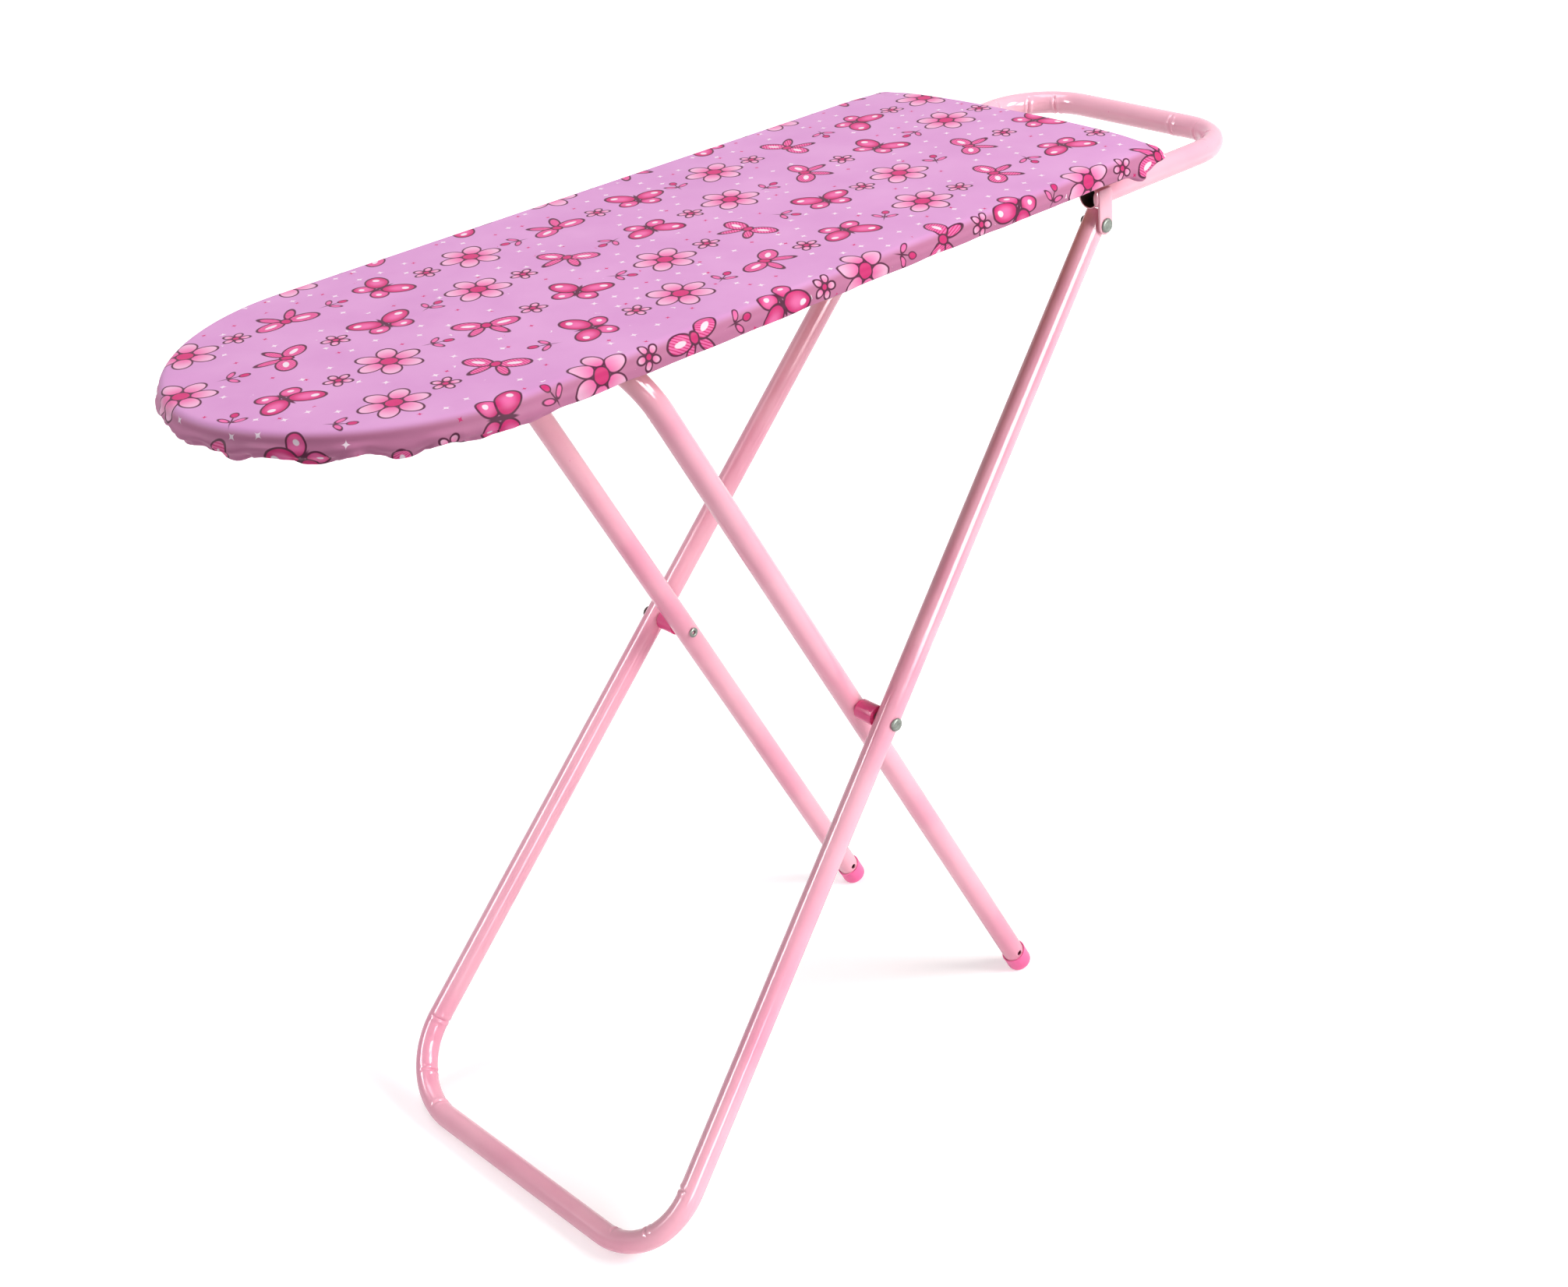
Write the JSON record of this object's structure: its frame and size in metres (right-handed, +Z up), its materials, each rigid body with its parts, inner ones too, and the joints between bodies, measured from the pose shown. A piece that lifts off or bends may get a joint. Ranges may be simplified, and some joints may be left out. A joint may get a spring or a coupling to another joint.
{
  "type": "toy ironing board",
  "caption": "Folding child-size ironing board: padded round-nosed board in a fitted fabric cover, crossed steel tube legs, and a U-shaped tube rest at the square end.",
  "frame": {"origin": "bottom centre of the bounding box, on the floor that the feet stand on", "axes": "+X from the round nose to the tube rest, +Y across the board, +Z up"},
  "size_m": [0.6392, 0.2386, 0.4952],
  "materials": {
    "tube_paint": "gloss pale pink enamel",
    "cover_cloth": "satin printed polyester",
    "elastic": "woven elastic",
    "foam": "open-cell foam sheet",
    "board_wood": "raw fibreboard",
    "batten_wood": "planed softwood",
    "magenta_plastic": "gloss moulded",
    "rivet_steel": "zinc plated, dull",
    "spring_steel": "plated spring strip"
  },
  "bodies": {
    "board": {"board_panel": "board_wood", "foam_pad": "foam", "fabric_cover": "cover_cloth", "hem_elastic": "elastic", "end_batten": "batten_wood", "rest_tube": "tube_paint", "hinge_plate_near": "tube_paint", "hinge_plate_far": "tube_paint", "rest_screw_near": "rivet_steel", "rest_screw_far": "rivet_steel", "batten_screw_near": "rivet_steel", "batten_screw_far": "rivet_steel", "crossbar_clip_near": "spring_steel", "crossbar_clip_far": "spring_steel", "clip_screw_near": "rivet_steel", "clip_screw_far": "rivet_steel"},
    "outer_legs": {"outer_leg_frame": "tube_paint", "hinge_rivet_near": "rivet_steel", "hinge_rivet_far": "rivet_steel", "scissor_rivet_near": "rivet_steel", "scissor_rivet_far": "rivet_steel", "spacer_sleeve_near": "magenta_plastic", "spacer_sleeve_far": "magenta_plastic"},
    "inner_legs": {"inner_leg_frame": "tube_paint", "foot_cap_near": "magenta_plastic", "foot_cap_far": "magenta_plastic"}
  },
  "joints": [
    {"name": "leg_fold", "type": "hinge", "parent": "board", "child": "outer_legs", "pos_m": [0.18825, 0, 0.4533], "axis": [0, 1, 0], "range_deg": [0, 45], "deforming": ["crossbar_clip_near", "crossbar_clip_far"]},
    {"name": "scissor", "type": "hinge", "parent": "outer_legs", "child": "inner_legs", "pos_m": [-0.00737, 0, 0.23733], "axis": [0, 1, 0], "range_deg": [-107.3, 0]}
  ],
  "couplings": [
    {"joint": "scissor", "follows": "leg_fold", "ratio": -2.382}
  ]
}
